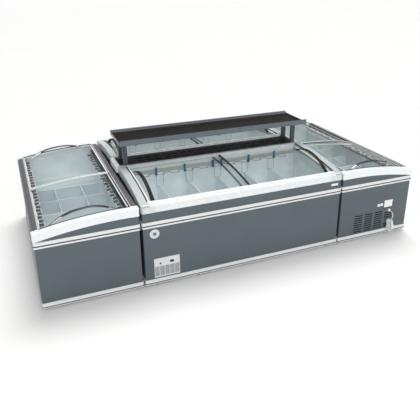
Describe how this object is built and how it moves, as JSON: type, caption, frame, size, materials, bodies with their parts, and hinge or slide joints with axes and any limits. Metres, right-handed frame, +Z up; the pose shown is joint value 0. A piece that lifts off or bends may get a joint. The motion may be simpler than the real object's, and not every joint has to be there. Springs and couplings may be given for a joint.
{
  "type": "island freezer",
  "caption": "Supermarket island of chest freezers with curved sliding glass lids on tracks, partitioned wells, bumper rails and a raised merchandising shelf over the centre.",
  "frame": {"origin": "on the floor at the middle of the island's plan", "axes": "+X along the island's length towards the end cabinet with louvres in front, +Y from the front towards the back, +Z up"},
  "size_m": [3.706, 2.0227, 1.118],
  "materials": {
    "white_trim": "satin white rail",
    "white_cap": "smooth moulded white",
    "slate_paint": "satin slate grey powder coat",
    "foam": "rigid insulation foam",
    "liner": "white stucco-coated sheet",
    "partition": "white coated panel",
    "glass": "clear tempered glass",
    "lid_frame": "black moulded profile and pull",
    "wire": "plated bent wire",
    "foot": "black levelling foot",
    "compressor": "black enamelled can",
    "control_plastic": "white moulded panel",
    "black_sheet": "black vented sheet",
    "shelf_gloss": "glossy near-black shelf",
    "slate_post": "slate grey powder coat",
    "cord_plastic": "white flexible sheath"
  },
  "bodies": {
    "island": {"front_base": "white_trim", "front_casing": "slate_paint", "front_foam": "foam", "front_liner": "liner", "front_bumper": "white_trim", "front_side_rails": "white_trim", "front_end_caps": "white_cap", "front_partitions": "partition", "back_base": "white_trim", "back_casing": "slate_paint", "back_foam": "foam", "back_liner": "liner", "back_bumper": "white_trim", "back_side_rails": "white_trim", "back_end_caps": "white_cap", "back_partitions": "partition", "right_base": "white_trim", "right_casing": "slate_paint", "right_foam": "foam", "right_liner": "liner", "right_bumper": "white_trim", "right_side_rails": "white_trim", "right_end_caps": "white_cap", "right_partitions": "partition", "left_base": "white_trim", "left_casing": "slate_paint", "left_foam": "foam", "left_liner": "liner", "left_bumper": "white_trim", "left_side_rails": "white_trim", "left_end_caps": "white_cap", "left_partitions": "partition", "hook_rails": "wire", "feet": "foot", "compressors": "compressor", "control_panels": "control_plastic", "spine_cover": "black_sheet", "spine_end_blocks": "white_cap", "shelf_tray": "shelf_gloss", "shelf_posts": "slate_post", "cord_fittings": "cord_plastic", "cord_lead": "cord_plastic", "cord_hank": "cord_plastic", "plug": "cord_plastic"},
    "front_lid_upper": {"front_lid_upper_glass": "glass", "front_lid_upper_frame": "lid_frame"},
    "front_lid_lower": {"front_lid_lower_glass": "glass", "front_lid_lower_frame": "lid_frame"},
    "back_lid_upper": {"back_lid_upper_glass": "glass", "back_lid_upper_frame": "lid_frame"},
    "back_lid_lower": {"back_lid_lower_glass": "glass", "back_lid_lower_frame": "lid_frame"},
    "right_lid_upper": {"right_lid_upper_glass": "glass", "right_lid_upper_frame": "lid_frame"},
    "right_lid_lower": {"right_lid_lower_glass": "glass", "right_lid_lower_frame": "lid_frame"},
    "left_lid_upper": {"left_lid_upper_glass": "glass", "left_lid_upper_frame": "lid_frame"},
    "left_lid_lower": {"left_lid_lower_glass": "glass", "left_lid_lower_frame": "lid_frame"}
  },
  "joints": [
    {"name": "front_upper_lid_slide", "type": "slide", "parent": "island", "child": "front_lid_upper", "axis": [1, 0, 0], "range_m": [0, 0.8]},
    {"name": "front_lower_lid_slide", "type": "slide", "parent": "island", "child": "front_lid_lower", "axis": [1, 0, 0], "range_m": [-0.8, 0]},
    {"name": "back_upper_lid_slide", "type": "slide", "parent": "island", "child": "back_lid_upper", "axis": [-1, 0, 0], "range_m": [0, 0.8]},
    {"name": "back_lower_lid_slide", "type": "slide", "parent": "island", "child": "back_lid_lower", "axis": [-1, 0, 0], "range_m": [-0.8, 0]},
    {"name": "right_upper_lid_slide", "type": "slide", "parent": "island", "child": "right_lid_upper", "axis": [0, 1, 0], "range_m": [0, 0.79]},
    {"name": "right_lower_lid_slide", "type": "slide", "parent": "island", "child": "right_lid_lower", "axis": [0, 1, 0], "range_m": [-0.79, 0]},
    {"name": "left_upper_lid_slide", "type": "slide", "parent": "island", "child": "left_lid_upper", "axis": [0, -1, 0], "range_m": [0, 0.79]},
    {"name": "left_lower_lid_slide", "type": "slide", "parent": "island", "child": "left_lid_lower", "axis": [0, -1, 0], "range_m": [-0.79, 0]}
  ]
}
